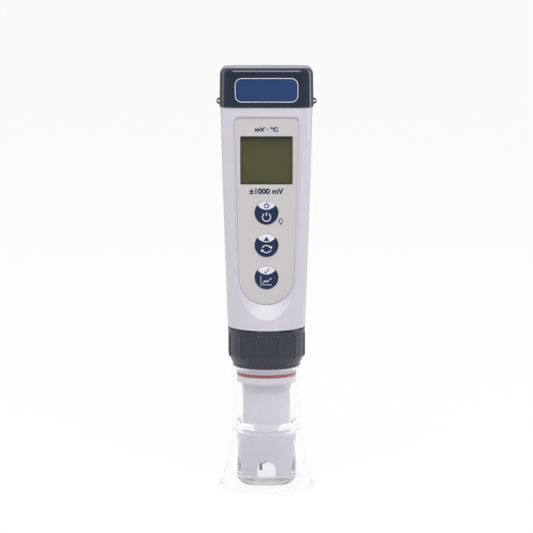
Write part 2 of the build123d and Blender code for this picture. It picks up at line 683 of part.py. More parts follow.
tab = [(3.9, leaf_foot), (CELL_X, leaf_top), (8.6, leaf_foot)]
with BuildPart() as cradle_contacts:
    with BuildSketch(Plane.XZ.offset(-CELL_ROWS[1])):
        with BuildLine():
            Polyline(*[(-x, z) for x, z in reversed(tab)], *tab)
        trace(line_width=LEAF)
    extrude(amount=LEAF_WIDTH / 2, both=True)
    for side in (-1, 1):
        with BuildSketch(Plane.XZ.offset(-CELL_ROWS[0])):
            with BuildLine():
                Polyline(*[(side * x, z) for x, z in tab])
            trace(line_width=LEAF)
        extrude(amount=LEAF_WIDTH / 2, both=True)
keep(cradle_contacts, "cradle_contacts")

# Battery cap: a dark cover with a sealed plug, lifted off to change the cells
CAP_FOOT_Z = BODY_TOP_Z + 0.15
CAP_FOOT_WIDTH = 38.9
CAP_FOOT_DEPTH = 34.9
CAP_TOP_WIDTH = 38.3
CAP_TOP_DEPTH = 34.3
PLUG_FOOT_Z = 155.8
PLUG_WIDTH = BODY_MOUTH_WIDTH - 2 * WALL - 0.4
PLUG_DEPTH = BODY_MOUTH_DEPTH - 2 * WALL - 0.4
PLUG_CORNER = MOUTH_CORNER - 0.2
PLUG_WALL = 1.8
PLUG_GROOVE_Z = 158.4
PLUG_GROOVE = 1.6
PLUG_GROOVE_DEPTH = 1.0
LEDGE_Z = 158.4
CEILING_Z = 175.6
BOSS_Y = 7.9
BOSS_RADIUS = 2.1
SCREW_BORE = 0.8
SCREW_DEPTH = 7.0
EYE_Z = 163.8
EYE_X = 19.6
EYE_BOSS = 1.3
EYE_ROOT = 18.9
EYE_HOLE_X = 20.0
EYE_HOLE = 0.5
EYE_WIDTH = 3.0

with BuildPart() as battery_cap:
    with BuildSketch(Plane.XY.offset(CAP_FOOT_Z)):
        RectangleRounded(CAP_FOOT_WIDTH, CAP_FOOT_DEPTH, 7.4)
    with BuildSketch(Plane.XY.offset(TOP_Z)):
        RectangleRounded(CAP_TOP_WIDTH, CAP_TOP_DEPTH, 7.2)
    loft(ruled=True)
    fillet(battery_cap.edges().group_by(Axis.Z)[-1], 2.4)
    fillet(battery_cap.edges().group_by(Axis.Z)[0], 0.3)
    with BuildSketch(Plane.XY.offset(PLUG_FOOT_Z)):
        RectangleRounded(PLUG_WIDTH, PLUG_DEPTH, PLUG_CORNER)
    extrude(amount=CAP_FOOT_Z - PLUG_FOOT_Z + 1)
    # Seal groove round the plug
    with BuildSketch(Plane.XY.offset(PLUG_GROOVE_Z)):
        RectangleRounded(PLUG_WIDTH + 1, PLUG_DEPTH + 1, PLUG_CORNER + 0.5)
        RectangleRounded(
            PLUG_WIDTH - 2 * PLUG_GROOVE_DEPTH,
            PLUG_DEPTH - 2 * PLUG_GROOVE_DEPTH,
            PLUG_CORNER - PLUG_GROOVE_DEPTH,
            mode=Mode.SUBTRACT,
        )
    extrude(amount=PLUG_GROOVE, mode=Mode.SUBTRACT)
    # Hollow, with a ledge for the contact board and two screw bosses
    with BuildSketch(Plane.XY.offset(PLUG_FOOT_Z)):
        RectangleRounded(PLUG_WIDTH - 2 * PLUG_WALL, PLUG_DEPTH - 2 * PLUG_WALL, 3.0)
    extrude(amount=LEDGE_Z - PLUG_FOOT_Z, mode=Mode.SUBTRACT)
    with BuildSketch(Plane.XY.offset(LEDGE_Z)):
        RectangleRounded(PLUG_WIDTH - 2 * PLUG_WALL - 3.0, PLUG_DEPTH - 2 * PLUG_WALL - 3.0, 2.0)
        with Locations((0, -BOSS_Y), (0, BOSS_Y)):
            Circle(BOSS_RADIUS, mode=Mode.SUBTRACT)
    extrude(amount=CEILING_Z - LEDGE_Z, mode=Mode.SUBTRACT)
    with Locations((0, -BOSS_Y, LEDGE_Z), (0, BOSS_Y, LEDGE_Z)):
        Cylinder(SCREW_BORE, SCREW_DEPTH, align=UPRIGHT, mode=Mode.SUBTRACT)
    # Lanyard eyes: round bosses on the sides with a pinhole and a sloping underside
    for side in (-1, 1):
        with BuildSketch(Plane.XZ):
            with Locations((side * EYE_X, EYE_Z)):
                Circle(EYE_BOSS)
            with BuildLine():
                Polyline(
                    (side * EYE_ROOT, EYE_Z + EYE_BOSS),
                    (side * EYE_X, EYE_Z + EYE_BOSS),
                    (side * (EYE_X + EYE_BOSS * sin(pi / 4)), EYE_Z - EYE_BOSS * sin(pi / 4)),
                    (side * (EYE_ROOT + 0.5), CAP_FOOT_Z + 0.4),
                    (side * EYE_ROOT, CAP_FOOT_Z + 0.4),
                    close=True,
                )
            make_face()
            with Locations((side * EYE_HOLE_X, EYE_Z)):
                Circle(EYE_HOLE, mode=Mode.SUBTRACT)
        extrude(amount=EYE_WIDTH / 2, both=True)
keep(battery_cap, "battery_cap")

with BuildPart() as battery_cap_seal:
    with BuildSketch(Plane.XY.offset(PLUG_GROOVE_Z + 0.1)):
        RectangleRounded(PLUG_WIDTH + 0.3, PLUG_DEPTH + 0.3, PLUG_CORNER + 0.15)
        RectangleRounded(
            PLUG_WIDTH - 2 * PLUG_GROOVE_DEPTH,
            PLUG_DEPTH - 2 * PLUG_GROOVE_DEPTH,
            PLUG_CORNER - PLUG_GROOVE_DEPTH,
            mode=Mode.SUBTRACT,
        )
    extrude(amount=PLUG_GROOVE - 0.2)
keep(battery_cap_seal, "battery_cap_seal")

CONTACT_BOARD = 1.2
board_foot = LEDGE_Z - CONTACT_BOARD
with BuildPart() as cap_contact_board:
    with BuildSketch(Plane.XY.offset(board_foot)):
        RectangleRounded(PLUG_WIDTH - 2 * PLUG_WALL - 0.2, PLUG_DEPTH - 2 * PLUG_WALL - 0.2, 2.8)
        with Locations((0, -BOSS_Y), (0, BOSS_Y)):
            Circle(0.9, mode=Mode.SUBTRACT)
    extrude(amount=CONTACT_BOARD)
keep(cap_contact_board, "cap_contact_board")

cap_leaf_z = board_foot - LEAF / 2
cap_leaf_foot = CELL_FOOT_Z + CELL_LENGTH + 1.0 + LEAF
front, back = CELL_ROWS
wave = [
    (front - 2.6, cap_leaf_z),
    (front, cap_leaf_foot),
    (front + 2.6, cap_leaf_z),
    (back - 2.6, cap_leaf_z),
    (back, cap_leaf_foot),
    (back + 2.4, cap_leaf_z),
]
with BuildPart() as cap_contacts:
    for side in (-1, 1):
        with BuildSketch(Plane.YZ.offset(side * CELL_X)):
            with BuildLine():
                Polyline(*wave)
            trace(line_width=LEAF)
        extrude(amount=LEAF_WIDTH / 2, both=True)
keep(cap_contacts, "cap_contacts")

with BuildPart() as contact_screws:
    with Locations((0, -BOSS_Y, board_foot), (0, BOSS_Y, board_foot)):
        Cylinder(SCREW_BORE - EPS, SCREW_DEPTH, align=UPRIGHT)
        Cylinder(1.6, 0.9, align=(Align.CENTER, Align.CENTER, Align.MAX))
keep(contact_screws, "contact_screws")

print(len(finished), "pieces:", ", ".join(finished))
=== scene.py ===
from math import cos, pi, radians, sin

import bpy
from mathutils import Matrix, Vector


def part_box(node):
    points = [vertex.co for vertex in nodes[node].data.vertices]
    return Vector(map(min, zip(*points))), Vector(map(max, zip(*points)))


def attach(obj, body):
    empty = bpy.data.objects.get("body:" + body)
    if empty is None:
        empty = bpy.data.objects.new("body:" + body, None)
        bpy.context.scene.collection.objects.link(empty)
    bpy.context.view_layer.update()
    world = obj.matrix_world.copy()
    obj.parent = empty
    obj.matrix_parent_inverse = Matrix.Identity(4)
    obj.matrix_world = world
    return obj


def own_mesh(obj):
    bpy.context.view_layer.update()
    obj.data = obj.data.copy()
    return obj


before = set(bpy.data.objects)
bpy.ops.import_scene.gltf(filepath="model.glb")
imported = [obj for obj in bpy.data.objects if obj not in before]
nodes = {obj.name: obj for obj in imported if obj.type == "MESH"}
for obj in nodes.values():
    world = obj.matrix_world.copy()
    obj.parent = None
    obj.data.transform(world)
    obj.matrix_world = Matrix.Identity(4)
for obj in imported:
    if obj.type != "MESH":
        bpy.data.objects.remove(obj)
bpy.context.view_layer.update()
MM = 0.001


# Studio: a white sweep with the tester standing in the middle, seen through a long lens from
# a little above its top, with a tall soft light at each side and a wide one overhead.
def linear(colour):
    """An sRGB hex colour as the linear values that a shader takes."""
    parts = [int(colour[i:i + 2], 16) / 255 for i in (0, 2, 4)]
    return [p / 12.92 if p <= 0.04045 else ((p + 0.055) / 1.055) ** 2.4 for p in parts] + [1.0]


def add_node(tree, kind, values=None, links=None, **settings):
    """Adds a shader node, with its sockets' values, its incoming links and its own settings."""
    node = tree.nodes.new(kind)
    for name, value in settings.items():
        setattr(node, name, value)
    for name, value in (values or {}).items():
        node.inputs[name].default_value = value
    for name, socket in (links or {}).items():
        tree.links.new(socket, node.inputs[name])
    return node


def new_material(name):
    """An empty node material with its output, ready for a shader."""
    material = bpy.data.materials.new(name)
    material.use_nodes = True
    material.node_tree.nodes.clear()
    return material, material.node_tree, material.node_tree.nodes.new("ShaderNodeOutputMaterial")


scene = bpy.context.scene
scene.view_settings.view_transform = "Standard"

CAMERA_DISTANCE = 0.861
CAMERA_PITCH = radians(8.0)
LOOK_AT = Vector((0, 0, 0.0939))
LENS = 137.8
camera_data = bpy.data.cameras.new("camera")
camera_data.sensor_width = 36.0
camera_data.lens = LENS
camera = bpy.data.objects.new("camera", camera_data)
scene.collection.objects.link(camera)
camera.location = LOOK_AT + CAMERA_DISTANCE * Vector((0, -cos(CAMERA_PITCH), sin(CAMERA_PITCH)))
camera.rotation_euler = (pi / 2 - CAMERA_PITCH, 0, 0)
scene.camera = camera

world = bpy.data.worlds.new("studio")
scene.world = world
world.use_nodes = True
tree = world.node_tree
tree.nodes.clear()
# The room is dim behind the camera and brighter towards the sweep behind the tester
DIM_SIDE = 0.10
BRIGHT_SIDE = 0.68
direction = add_node(tree, "ShaderNodeTexCoord")
split_direction = add_node(tree, "ShaderNodeSeparateXYZ", links={"Vector": direction.outputs["Generated"]})
depth = add_node(
    tree, "ShaderNodeMapRange",
    {"From Min": -0.8, "From Max": 0.4, "To Min": DIM_SIDE, "To Max": BRIGHT_SIDE},
    {"Value": split_direction.outputs["Y"]},
)
room = add_node(
    tree, "ShaderNodeBackground", {"Color": linear("fbfbff")}, {"Strength": depth.outputs["Result"]},
)
sweep = add_node(tree, "ShaderNodeBackground", {"Color": linear("fdfdfd"), "Strength": 1.0})


BEFORE_FIRST = 0.5  # a count of bounces is under this until the first


def straight_rays(tree):
    """1 for what is seen straight, through clear pieces or mirrored inside them, else 0."""
    rays = add_node(tree, "ShaderNodeLightPath")
    unlit = add_node(
        tree, "ShaderNodeMath", {1: BEFORE_FIRST}, {0: rays.outputs["Diffuse Depth"]},
        operation="LESS_THAN",
    )
    inside = add_node(
        tree, "ShaderNodeMath", links={0: rays.outputs["Transmission Depth"], 1: unlit.outputs[0]},
        operation="MULTIPLY",
    )
    return add_node(
        tree, "ShaderNodeMath", links={0: rays.outputs["Is Camera Ray"], 1: inside.outputs[0]},
        operation="MAXIMUM", use_clamp=True,
    )


backdrop = add_node(
    tree, "ShaderNodeMixShader",
    links={0: straight_rays(tree).outputs[0], 1: room.outputs[0], 2: sweep.outputs[0]},
)
add_node(tree, "ShaderNodeOutputWorld", links={"Surface": backdrop.outputs[0]})


def soft_light(name, place, size, power):
    """A square soft light that faces the middle of the tester."""
    data = bpy.data.lights.new(name, "AREA")
    data.shape = "RECTANGLE"
    data.size, data.size_y = size
    data.energy = power
    light = bpy.data.objects.new(name, data)
    scene.collection.objects.link(light)
    light.location = place
    light.rotation_euler = (LOOK_AT - Vector(place)).to_track_quat("-Z", "Y").to_euler()


soft_light("left_soft_light", (-0.85, 0.25, 0.30), (0.3, 0.8), 1.0)
soft_light("right_soft_light", (0.85, 0.30, 0.35), (0.2, 0.7), 1.8)
soft_light("top_soft_light", (0.0, -0.55, 0.95), (0.95, 0.5), 9.0)

FLOOR_SIZE = 60.0
FLOOR_GLOW = 0.93
bpy.ops.mesh.primitive_plane_add(size=FLOOR_SIZE, location=(0, 0, 0))
floor = bpy.context.object
floor.name = "floor"
floor_paper, tree, output = new_material("white_paper_sweep")
paper = add_node(tree, "ShaderNodeBsdfDiffuse", {"Color": linear("f6f6f6")})
glow = add_node(tree, "ShaderNodeEmission", {"Color": linear("ffffff"), "Strength": 1.0})
share = add_node(
    tree, "ShaderNodeMath", {1: FLOOR_GLOW}, {0: straight_rays(tree).outputs[0]}, operation="MULTIPLY",
)
surface = add_node(
    tree, "ShaderNodeMixShader", links={0: share.outputs[0], 1: paper.outputs[0], 2: glow.outputs[0]},
)
tree.links.new(surface.outputs[0], output.inputs["Surface"])
floor.data.materials.append(floor_paper)


# Storage cap: one injection moulding in clear acrylic, polished in the mould. Light passes
# through it with hardly any tint and the walls show as faint lines where they turn away.
def finish_node(name, material):
    """Gives a carried-over piece its finish."""
    nodes[name].data.materials.clear()
    nodes[name].data.materials.append(material)


def object_grain(tree, millimetres, detail):
    """A noise pattern on the piece itself, with spots of about the given size."""
    place = add_node(tree, "ShaderNodeTexCoord")
    return add_node(
        tree, "ShaderNodeTexNoise", {"Scale": 1.0 / (millimetres * MM), "Detail": detail},
        {"Vector": place.outputs["Object"]},
    )


NOISE_LOW = 0.3
NOISE_HIGH = 0.7  # a noise pattern mostly stays between these two


def spread(tree, pattern, low, high):
    """Maps a noise pattern to values between low and high."""
    return add_node(
        tree, "ShaderNodeMapRange",
        {"From Min": NOISE_LOW, "From Max": NOISE_HIGH, "To Min": low, "To Max": high},
        {"Value": pattern.outputs["Fac"]},
    )


RIPPLE_SIZE = 9.0
RIPPLE_DEPTH = 0.3 * MM
MOST_MIRRORINGS = 2.5  # a count of bounces is over this from the third


def clear_material(name, colour, ior, roughness, wave=0.0):
    """A clear solid or liquid: it refracts what is behind it, and lamps reach through it."""
    material, tree, output = new_material(name)
    shader = add_node(
        tree, "ShaderNodeBsdfPrincipled",
        {"Base Color": linear(colour), "Roughness": roughness, "IOR": ior, "Transmission Weight": 1.0},
    )
    if wave:
        ripple = object_grain(tree, RIPPLE_SIZE, 1.0)
        waves = add_node(
            tree, "ShaderNodeBump", {"Strength": wave, "Distance": RIPPLE_DEPTH},
            {"Height": ripple.outputs["Fac"]},
        )
        tree.links.new(waves.outputs["Normal"], shader.inputs["Normal"])
    rays = add_node(tree, "ShaderNodeLightPath")
    dimmed = add_node(
        tree, "ShaderNodeMath", links={0: rays.outputs["Is Shadow Ray"], 1: rays.outputs["Is Diffuse Ray"]},
        operation="MAXIMUM",
    )
    # Light that has been mirrored three times inside the wall leaves it straight
    caught = add_node(
        tree, "ShaderNodeMath", {1: MOST_MIRRORINGS}, {0: rays.outputs["Glossy Depth"]},
        operation="GREATER_THAN",
    )
    straight = add_node(
        tree, "ShaderNodeMath", links={0: dimmed.outputs[0], 1: caught.outputs[0]}, operation="MAXIMUM",
    )
    passing = add_node(tree, "ShaderNodeBsdfTransparent", {"Color": linear(colour)})
    surface = add_node(
        tree, "ShaderNodeMixShader",
        links={0: straight.outputs[0], 1: shader.outputs[0], 2: passing.outputs[0]},
    )
    tree.links.new(surface.outputs[0], output.inputs["Surface"])
    return material


finish_node("storage_cap", clear_material("clear_acrylic", "fdfdfe", 1.49, 0.012, wave=0.03))

# Soaking solution: the clear salt solution that keeps the sensors wet. It fills the inner
# vessel round the probe to a little under where the bore widens, and makes the probe look
# wider. It reaches slightly into the wall and the floor, so that no gap shows.
SOLUTION_RADIUS = 11.35 * MM
SOLUTION_FLOOR = 2.5 * MM
SOLUTION_TOP = 23.4 * MM
SOLUTION_ROUND = 3.3 * MM


def deselect():
    """Leaves nothing selected, so that the next operator acts on the new piece alone."""
    for thing in bpy.context.selected_objects:
        thing.select_set(False)


def settle(piece, body, material):
    """Puts a piece's place into its mesh, gives it its finish and rides it on its body."""
    piece.data.transform(piece.matrix_world)
    piece.matrix_world = Matrix.Identity(4)
    piece.data.materials.clear()
    piece.data.materials.append(material)
    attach(piece, body)


deselect()
bpy.ops.mesh.primitive_cylinder_add(
    vertices=96, radius=SOLUTION_RADIUS, depth=SOLUTION_TOP - SOLUTION_FLOOR,
    location=(0, 0, (SOLUTION_TOP + SOLUTION_FLOOR) / 2),
)
solution = bpy.context.object
solution.name = "soaking_solution"
bpy.ops.object.mode_set(mode="EDIT")
bpy.ops.mesh.select_mode(type="EDGE")
bpy.ops.mesh.select_all(action="DESELECT")
bpy.ops.object.mode_set(mode="OBJECT")
for edge in solution.data.edges:
    edge.select = all(solution.data.vertices[i].co.z < 0 for i in edge.vertices)
bpy.ops.object.mode_set(mode="EDIT")
bpy.ops.mesh.bevel(offset=SOLUTION_ROUND, segments=8)
bpy.ops.object.mode_set(mode="OBJECT")
bpy.ops.object.shade_smooth_by_angle(angle=radians(40))
settle(solution, "storage_cap_body", clear_material("salt_solution", "ffffff", 1.334, 0.0))
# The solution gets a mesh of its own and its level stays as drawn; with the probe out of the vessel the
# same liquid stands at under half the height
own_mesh(solution)


# Probe: a white ABS moulding, satin from a fine spark-eroded mould, a touch cooler than
# the housing. It holds the glass stem, the platinum pin and the temperature sensor.
FLOW_CLOUD = 14.0
MOULD_PIT = 0.02 * MM
COAT_ROUGHNESS = 0.08
PLASTIC_IOR = 1.5


def moulded_plastic(name, colour, roughness, grain, bump, coat=0.0):
    """Injection-moulded plastic: an even colour with faint flow clouds and a fine mould grain."""
    material, tree, output = new_material(name)
    tone = spread(tree, object_grain(tree, FLOW_CLOUD, 3.0), 0.985, 1.015)
    shade = add_node(
        tree, "ShaderNodeMixRGB", {"Fac": 1.0, "Color1": linear(colour)},
        {"Color2": tone.outputs["Result"]}, blend_type="MULTIPLY",
    )
    skin = object_grain(tree, grain, 2.0)
    gloss = spread(tree, skin, roughness * 0.92, roughness * 1.08)
    pits = add_node(
        tree, "ShaderNodeBump", {"Strength": bump, "Distance": MOULD_PIT}, {"Height": skin.outputs["Fac"]},
    )
    shader = add_node(
        tree, "ShaderNodeBsdfPrincipled",
        {"IOR": PLASTIC_IOR, "Coat Weight": coat, "Coat Roughness": COAT_ROUGHNESS},
        {
            "Base Color": shade.outputs[0],
            "Roughness": gloss.outputs["Result"],
            "Normal": pits.outputs["Normal"],
        },
    )
    tree.links.new(shader.outputs[0], output.inputs["Surface"])
    return material


probe_abs = moulded_plastic("probe_white_abs", "d2cdd5", 0.42, 0.35, 0.15)
finish_node("probe_body", probe_abs)
finish_node("cap_seal_ring", moulded_plastic("red_silicone_ring", "8f2016", 0.4, 0.3, 0.1))
black_rubber = moulded_plastic("black_nitrile_rubber", "1d1d1f", 0.6, 0.3, 0.2)
finish_node("header_seal_ring", black_rubber)
finish_node("glass_stem", clear_material("sensor_glass", "f1f6f6", 1.52, 0.01))


def drawn_metal(name, colour, roughness, grain):
    """Bare or plated metal with fine drawing marks."""
    material, tree, output = new_material(name)
    gloss = spread(tree, object_grain(tree, grain, 3.0), roughness * 0.8, roughness * 1.25)
    shader = add_node(
        tree, "ShaderNodeBsdfPrincipled", {"Base Color": linear(colour), "Metallic": 1.0},
        {"Roughness": gloss.outputs["Result"]},
    )
    tree.links.new(shader.outputs[0], output.inputs["Surface"])
    return material


platinum = drawn_metal("platinum_wire", "8d8a86", 0.25, 0.2)
finish_node("platinum_pin", platinum)
finish_node("reference_wire", platinum)
finish_node("temperature_sensor", drawn_metal("stainless_sleeve", "b9b7b2", 0.3, 0.2))
finish_node("reference_junction", moulded_plastic("porous_ceramic", "e6e0d6", 0.8, 0.2, 0.5))
black_nylon = moulded_plastic("black_glass_filled_nylon", "202124", 0.5, 0.3, 0.25)
finish_node("probe_header", black_nylon)
finish_node("contact_pins", drawn_metal("gold_plated_pins", "d8b465", 0.22, 0.2))

# Locking ring: a dark slate ABS nut with a soft gloss, moulded with twelve grip ribs. It is
# turned by hand and draws the probe's shoulder up against the housing's spigot.
slate_abs = moulded_plastic("slate_gloss_abs", "262a37", 0.26, 0.5, 0.03)
finish_node("locking_ring", slate_abs)

# Housing: cool white ABS with a soft satin gloss, moulded in one piece from the round foot
# to the nearly square mouth, with the recess for the keypad film in its front.
white_abs = moulded_plastic("housing_white_abs", "d3cfd7", 0.30, 0.4, 0.10)
finish_node("housing", white_abs)

# Keypad film: polycarbonate printed grey on the back, with a fine velvet front, and a
# clear window over the display.
film_grey = moulded_plastic("velvet_film", "ccc8c8", 0.48, 0.12, 0.3)
finish_node("front_overlay", film_grey)
finish_node("display_window", clear_material("clear_window", "f4f6f2", 1.25, 0.03))

# Printing on the film: navy screen ink. It names what is measured above the display and
# the range below it, and shows a lamp beside the upper key for the display's light.
INK = 0.04  # thickness in millimetres, twice what shows above the surface
FILM_FACE = 0.45  # the film's front over the recess's floor
CIRCLE_STEPS = 40


def face_frame(origin, lean):
    """The frame of a flat face that leans forward: x to the right, y up the face, z outwards."""
    return Matrix((
        (1, 0, 0, origin[0] * MM),
        (0, -sin(lean), -cos(lean), origin[1] * MM),
        (0, cos(lean), -sin(lean), origin[2] * MM),
        (0, 0, 0, 1),
    ))


PANEL_PLACE = (0, -14.6, 118.4)  # the upper key's middle, on the floor of the recess
PANEL_LEAN = radians(2.3)
panel = face_frame(PANEL_PLACE, PANEL_LEAN)


def arc(x, y, across, up, start, end):
    """Points in millimetres along part of an ellipse, with angles in degrees."""
    steps = max(4, round(CIRCLE_STEPS * abs(end - start) / 360))
    angles = [radians(start + (end - start) * i / steps) for i in range(steps + 1)]
    return [(x + across * cos(a), y + up * sin(a)) for a in angles]


def to_mesh(name, data):
    """A curve or text as a mesh object, still in millimetres and flat."""
    drawing = bpy.data.objects.new(name, data)
    scene.collection.objects.link(drawing)
    deselect()
    drawing.select_set(True)
    bpy.context.view_layer.objects.active = drawing
    bpy.ops.object.convert(target="MESH")
    return bpy.context.object


def add_points(curve, points, closed):
    """Adds one straight-sided outline to a curve."""
    line = curve.splines.new("POLY")
    line.points.add(len(points) - 1)
    for point, (x, y) in zip(line.points, points):
        point.co = (x, y, 0, 1)
    line.use_cyclic_u = closed


def stroke(points, width, closed=False):
    """A printed line of even width."""
    curve = bpy.data.curves.new("stroke", "CURVE")
    curve.dimensions = "3D"
    curve.bevel_depth = width / 2
    curve.bevel_resolution = 2
    curve.use_fill_caps = True
    add_points(curve, points, closed)
    drawing = to_mesh("stroke", curve)
    drawing.data.transform(Matrix.Diagonal((1, 1, INK / width, 1)))
    return drawing


def patch(points):
    """A printed area."""
    curve = bpy.data.curves.new("patch", "CURVE")
    curve.dimensions = "2D"
    curve.fill_mode = "BOTH"
    curve.extrude = INK / 2
    add_points(curve, points, True)
    return to_mesh("patch", curve)


def words(text, height, width, weight):
    """Printed characters of a given height and width, in millimetres, made bolder by weight."""
    letters = bpy.data.curves.new("words", "FONT")
    letters.body = text
    letters.align_x = "CENTER"
    letters.align_y = "CENTER"
    letters.extrude = INK / 2
    letters.offset = weight
    drawing = to_mesh("words", letters)
    low = [min(v.co[i] for v in drawing.data.vertices) for i in (0, 1)]
    high = [max(v.co[i] for v in drawing.data.vertices) for i in (0, 1)]
    drawing.data.transform(Matrix.Translation((-(low[0] + high[0]) / 2, -(low[1] + high[1]) / 2, 0)))
    drawing.data.transform(Matrix.Diagonal((width / (high[0] - low[0]), height / (high[1] - low[1]), 1, 1)))
    return drawing


def print_on(name, drawings, face, place, body, ink):
    """Joins drawings into one print and lays it on a face, at x, y and height over the face."""
    deselect()
    for drawing in drawings:
        drawing.select_set(True)
    bpy.context.view_layer.objects.active = drawings[0]
    if len(drawings) > 1:
        bpy.ops.object.join()
    piece = bpy.context.object
    piece.name = name
    piece.data.transform(face @ Matrix.Translation(Vector(place) * MM) @ Matrix.Scale(MM, 4))
    settle(piece, body, ink)


navy_ink = moulded_plastic("navy_screen_ink", "1c2a50", 0.45, 0.15, 0.15)
MEASURED_RISE = 34.6
RANGE_RISE = 9.0
LAMP_PLACE = (5.9, -3.6, FILM_FACE)
LAMP_RADIUS = 0.78
print_on(
    "measured_print", [words("mV · °C", 2.0, 9.6, 0.06)],
    panel, (0, MEASURED_RISE, FILM_FACE), "housing_body", navy_ink,
)
print_on(
    "range_print", [words("±1000 mV", 2.5, 14.2, 0.05)],
    panel, (0, RANGE_RISE, FILM_FACE), "housing_body", navy_ink,
)
lamp_symbol = [
    stroke(arc(0, 0.3, LAMP_RADIUS, LAMP_RADIUS, -60, 240), 0.38),
    stroke([(-0.39, -0.38), (-0.30, -0.95), (0.30, -0.95), (0.39, -0.38)], 0.38),
    stroke([(-0.25, -1.25), (0.25, -1.25)], 0.3),
]
print_on("lamp_print", lamp_symbol, panel, LAMP_PLACE, "housing_body", navy_ink)

# Display: a liquid crystal cell, two thin glass plates with a grey green polariser, in a
# black frame on the circuit board, with two rubber contact strips and a light plate behind.
# Heights over which the painted shade at the display's top edge deepens
SHADE_FROM = 148.0 * MM
SHADE_TO = 149.6 * MM
liquid_crystal, tree, output = new_material("liquid_crystal_with_painted_shade")
place = add_node(tree, "ShaderNodeTexCoord")
height = add_node(tree, "ShaderNodeSeparateXYZ", links={"Vector": place.outputs["Object"]})
# Painted shade: the colour darkens towards the display's top edge, in place of the shadow that the frame
# over the display casts there
painted_edge_shade = add_node(
    tree, "ShaderNodeMapRange",
    {"From Min": SHADE_FROM, "From Max": SHADE_TO, "To Min": 0.0, "To Max": 1.0},
    {"Value": height.outputs["Z"]},
)
# The polariser's own grey green, mixed into a dark painted shadow colour at the top edge
polariser = add_node(
    tree, "ShaderNodeMixRGB", {"Color1": linear("4e4b26"), "Color2": linear("12120c")},
    {"Fac": painted_edge_shade.outputs["Result"]},
)
shader = add_node(
    tree, "ShaderNodeBsdfPrincipled", {"Roughness": 0.35, "IOR": 1.3}, {"Base Color": polariser.outputs[0]},
)
tree.links.new(shader.outputs[0], output.inputs["Surface"])
finish_node("display_glass", liquid_crystal)
finish_node("display_frame", black_nylon)
finish_node("backlight_plate", moulded_plastic("backlight_acrylic", "e8e8e0", 0.4, 0.4, 0.05))
finish_node("contact_strips", black_rubber)

# Keys: navy silicone rubber caps with a satin face. The top of each is printed white, with
# a navy symbol for its second use, and its own symbol is printed white below.
KEY_FACE = 0.8  # the keys' front over the recess's floor
KEY_PITCH = 13.6
WHITE_RADIUS = 4.6
WHITE_RISE = 6.0  # middle of the white area above the key's middle
PRINT_EDGE = 0.03
KEY_CLOUD = 5.0
KEY_GRAIN = 0.3


def key_rubber(name, row):
    """Navy silicone with the white printed area at the top of the key in this row."""
    material, tree, output = new_material(name)
    centre = panel @ (Vector((0, row + WHITE_RISE, KEY_FACE)) * MM)
    place = add_node(tree, "ShaderNodeTexCoord")
    reach = add_node(
        tree, "ShaderNodeVectorMath", {1: centre}, {0: place.outputs["Object"]}, operation="DISTANCE",
    )
    printed = add_node(
        tree, "ShaderNodeMapRange",
        {
            "From Min": (WHITE_RADIUS - PRINT_EDGE) * MM, "From Max": (WHITE_RADIUS + PRINT_EDGE) * MM,
            "To Min": 1, "To Max": 0,
        },
        {"Value": reach.outputs["Value"]},
    )
    tone = spread(tree, object_grain(tree, KEY_CLOUD, 2.0), 0.94, 1.06)
    colour = add_node(
        tree, "ShaderNodeMixRGB", {"Color1": linear("12264a"), "Color2": linear("e4e4ec")},
        {"Fac": printed.outputs["Result"]},
    )
    shade = add_node(
        tree, "ShaderNodeMixRGB", {"Fac": 1.0},
        {"Color1": colour.outputs[0], "Color2": tone.outputs["Result"]},
        blend_type="MULTIPLY",
    )
    skin = object_grain(tree, KEY_GRAIN, 2.0)
    pits = add_node(
        tree, "ShaderNodeBump", {"Strength": 0.1, "Distance": MOULD_PIT}, {"Height": skin.outputs["Fac"]},
    )
    shader = add_node(
        tree, "ShaderNodeBsdfPrincipled", {"Roughness": 0.5, "IOR": 1.4},
        {"Base Color": shade.outputs[0], "Normal": pits.outputs["Normal"]},
    )
    tree.links.new(shader.outputs[0], output.inputs["Surface"])
    return material


white_ink = moulded_plastic("white_screen_ink", "e6e8f0", 0.45, 0.15, 0.1)
POWER_RADIUS = 1.7
power_symbol = [
    stroke(arc(0, -1.75, POWER_RADIUS, POWER_RADIUS, 125, 415), 0.4),
    stroke([(0, -1.2), (0, 0.3)], 0.36),
]
cog_symbol = [stroke(arc(0, 0, 0.72, 0.72, 0, 360), 0.34)] + [
    stroke([(0.9 * cos(a), 0.9 * sin(a)), (1.3 * cos(a), 1.3 * sin(a))], 0.38)
    for a in (pi / 4 * i for i in range(8))
]


def turning_arrow(turn):
    """Half of the two-arrow symbol: an elliptical arc with a solid head."""
    flip = cos(turn)
    shaft = [(flip * x, flip * y) for x, y in arc(0, 0, 1.9, 1.5, 162, 42)]
    head = [(flip * x, flip * y) for x, y in ((2.25, 1.25), (0.95, 0.75), (2.2, 0.05))]
    return [stroke(shaft, 0.36), patch(head)]


mode_symbol = turning_arrow(0) + turning_arrow(pi)
chart_symbol = [
    stroke([(-2.35, 0.8), (-2.35, -3.0), (2.2, -3.0)], 0.25),
    stroke([(-1.5, -2.4), (-0.7, -1.45), (0.3, -1.6), (2.1, -0.2)], 0.3),
    patch(arc(-0.7, -1.45, 0.34, 0.34, 0, 360)),
    patch(arc(0.3, -1.6, 0.34, 0.34, 0, 360)),
]
up_symbol = [patch([(-1.25, -0.95), (1.25, -0.95), (0, 1.0)])]
tick_symbol = [stroke([(-0.95, -0.1), (-0.35, -0.85), (1.05, 0.95)], 0.46)]

